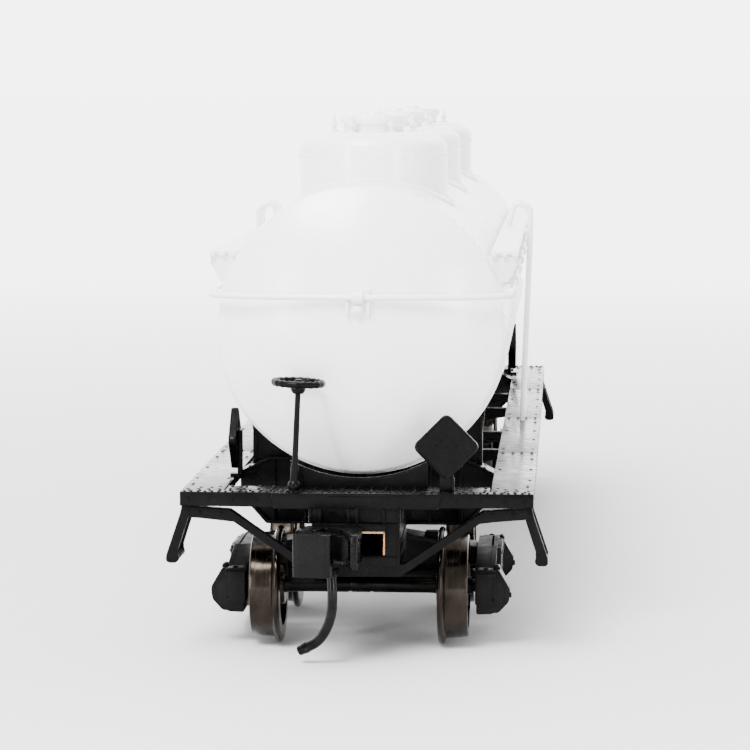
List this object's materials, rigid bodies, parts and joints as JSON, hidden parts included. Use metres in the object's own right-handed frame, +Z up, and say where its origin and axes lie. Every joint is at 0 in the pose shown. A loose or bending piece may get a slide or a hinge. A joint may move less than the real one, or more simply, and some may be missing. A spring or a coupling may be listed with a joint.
{
  "type": "model tank wagon",
  "caption": "Scale model tank wagon: a white riveted tank with domes on a black frame, swivelling trucks, rolling wheelsets and swinging knuckle couplers.",
  "frame": {"origin": "on the ground under the middle of the wagon, level with the bottoms of the wheel flanges", "axes": "+X along the wagon towards the brake-wheel end, +Y to the side of the wagon on the right when its brake-wheel end is faced, +Z up"},
  "size_m": [0.141, 0.0348, 0.049],
  "materials": {
    "tank_white": "satin white paint",
    "trim_white": "satin white moulding",
    "frame_black": "satin black moulding",
    "board_black": "satin black moulding",
    "truck_black": "matte black moulding",
    "coupler_black": "blackened metal",
    "wheel_metal": "turned metal with a warm tint",
    "axle_metal": "blackened steel",
    "spring_bronze": "bright bronze strip",
    "screw_steel": "plain steel",
    "ballast_steel": "plain steel bar"
  },
  "bodies": {
    "wagon_body": {"air_reservoir": "frame_black", "ballast_weight": "ballast_steel", "body_bolsters": "frame_black", "brake_cylinder": "frame_black", "brake_rods": "frame_black", "brake_staff": "frame_black", "brake_valve": "frame_black", "brake_wheel": "frame_black", "centre_sill": "frame_black", "centring_springs": "spring_bronze", "corner_steps": "frame_black", "coupler_box_front": "frame_black", "coupler_box_lids": "frame_black", "coupler_box_rear": "frame_black", "cross_bearers": "frame_black", "dome_front": "tank_white", "dome_middle": "tank_white", "dome_rear": "tank_white", "end_braces": "frame_black", "end_sill_front": "frame_black", "end_sill_rear": "frame_black", "frame_screws": "screw_steel", "handrail_stanchions": "trim_white", "handrails": "trim_white", "manway_lid_bolts": "trim_white", "manway_lids": "tank_white", "placard_boards": "frame_black", "running_board_left": "board_black", "running_board_right": "board_black", "safety_valves": "trim_white", "side_ladders": "trim_white", "side_walkways": "trim_white", "tank_barrel": "tank_white", "tank_bottom_sheet": "tank_white", "tank_head_front": "tank_white", "tank_head_rear": "tank_white", "tank_saddles": "frame_black", "walkway_brackets": "trim_white"},
    "wheelset_front_inner": {"axle_front_inner": "axle_metal", "wheels_front_inner": "wheel_metal"},
    "wheelset_front_outer": {"axle_front_outer": "axle_metal", "wheels_front_outer": "wheel_metal"},
    "wheelset_rear_inner": {"axle_rear_inner": "axle_metal", "wheels_rear_inner": "wheel_metal"},
    "wheelset_rear_outer": {"axle_rear_outer": "axle_metal", "wheels_rear_outer": "wheel_metal"},
    "truck_front": {"brake_beams_front": "truck_black", "side_frame_front_left": "truck_black", "side_frame_front_right": "truck_black", "truck_bolster_front": "truck_black"},
    "truck_rear": {"brake_beams_rear": "truck_black", "side_frame_rear_left": "truck_black", "side_frame_rear_right": "truck_black", "truck_bolster_rear": "truck_black"},
    "coupler_front_body": {"coupler_front": "coupler_black", "knuckle_spring_front": "spring_bronze"},
    "coupler_rear_body": {"coupler_rear": "coupler_black", "knuckle_spring_rear": "spring_bronze"},
    "knuckle_front_body": {"knuckle_front": "coupler_black"},
    "knuckle_rear_body": {"knuckle_rear": "coupler_black"}
  },
  "joints": [
    {"name": "truck_swivel_front", "type": "hinge", "parent": "wagon_body", "child": "truck_front", "pos_m": [0.0464, 0, 0.0096], "axis": [0, 0, 1], "range_deg": [-8, 8]},
    {"name": "wheel_spin_front_outer", "type": "hinge", "parent": "truck_front", "child": "wheelset_front_outer", "pos_m": [0.05602, 0, 0.00544], "axis": [0, 1, 0], "continuous": true},
    {"name": "wheel_spin_front_inner", "type": "hinge", "parent": "truck_front", "child": "wheelset_front_inner", "pos_m": [0.03678, 0, 0.00544], "axis": [0, 1, 0], "continuous": true},
    {"name": "coupler_swing_front", "type": "hinge", "parent": "wagon_body", "child": "coupler_front_body", "pos_m": [0.0557, 0, 0.0105], "axis": [0, 0, 1], "range_deg": [-1.3, 21.3]},
    {"name": "knuckle_swing_front", "type": "hinge", "parent": "coupler_front_body", "child": "knuckle_front_body", "pos_m": [0.06617, -0.00398, 0.0105], "axis": [0, 0, -1], "range_deg": [0, 25], "stiffness_Nm_per_rad": 0.00002},
    {"name": "truck_swivel_rear", "type": "hinge", "parent": "wagon_body", "child": "truck_rear", "pos_m": [-0.0464, 0, 0.0096], "axis": [0, 0, 1], "range_deg": [-8, 8]},
    {"name": "wheel_spin_rear_outer", "type": "hinge", "parent": "truck_rear", "child": "wheelset_rear_outer", "pos_m": [-0.05602, 0, 0.00544], "axis": [0, 1, 0], "continuous": true},
    {"name": "wheel_spin_rear_inner", "type": "hinge", "parent": "truck_rear", "child": "wheelset_rear_inner", "pos_m": [-0.03678, 0, 0.00544], "axis": [0, 1, 0], "continuous": true},
    {"name": "coupler_swing_rear", "type": "hinge", "parent": "wagon_body", "child": "coupler_rear_body", "pos_m": [-0.0557, 0, 0.0105], "axis": [0, 0, 1], "range_deg": [-1.3, 21.3]},
    {"name": "knuckle_swing_rear", "type": "hinge", "parent": "coupler_rear_body", "child": "knuckle_rear_body", "pos_m": [-0.06617, 0.00398, 0.0105], "axis": [0, 0, -1], "range_deg": [0, 25], "stiffness_Nm_per_rad": 0.00002}
  ]
}
